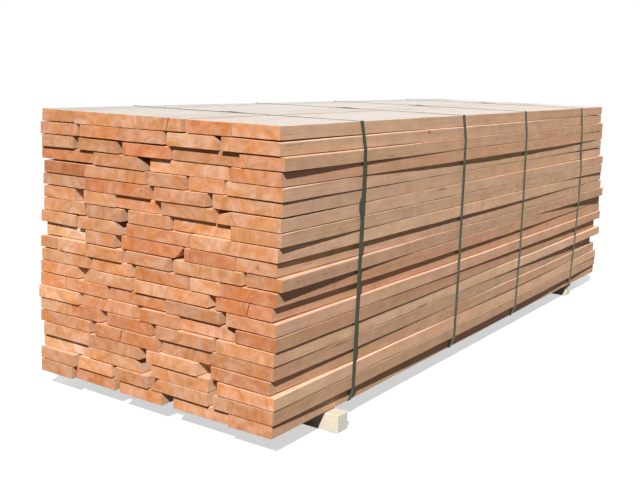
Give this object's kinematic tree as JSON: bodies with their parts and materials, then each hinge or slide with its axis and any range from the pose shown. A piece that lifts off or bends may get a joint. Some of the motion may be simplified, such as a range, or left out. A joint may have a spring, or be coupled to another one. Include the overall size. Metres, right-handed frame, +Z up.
{
  "type": "stack of lumber",
  "caption": "Strapped pack of sawn hardwood boards of random widths in level layers, with staggered ends and waney edges, lying on two softwood bearers.",
  "frame": {"origin": "on the floor, under the middle of the whole pack's box", "axes": "+X along the boards, away from the pictured end; +Y across, away from the pictured side; +Z up"},
  "size_m": [3.063, 1.105, 1.0112],
  "materials": {
    "board_wood": "rough sawn",
    "strap_band": "embossed satin",
    "seal_metal": "satin",
    "bearer_wood": "planed"
  },
  "bodies": {
    "root": {"boards_layer_01": "board_wood", "boards_layer_02": "board_wood", "boards_layer_03": "board_wood", "boards_layer_04": "board_wood", "boards_layer_05": "board_wood", "boards_layer_06": "board_wood", "boards_layer_07": "board_wood", "boards_layer_08": "board_wood", "boards_layer_09": "board_wood", "boards_layer_10": "board_wood", "boards_layer_11": "board_wood", "boards_layer_12": "board_wood", "boards_layer_13": "board_wood", "boards_layer_14": "board_wood", "boards_layer_15": "board_wood", "boards_layer_16": "board_wood", "boards_layer_17": "board_wood", "boards_layer_18": "board_wood", "boards_layer_19": "board_wood", "boards_layer_20": "board_wood", "boards_layer_21": "board_wood", "strap_1": "strap_band", "strap_2": "strap_band", "strap_3": "strap_band", "strap_4": "strap_band", "strap_seal_1": "seal_metal", "strap_seal_2": "seal_metal", "strap_seal_3": "seal_metal", "strap_seal_4": "seal_metal", "bearer_near": "bearer_wood", "bearer_far": "bearer_wood"}
  },
  "joints": []
}
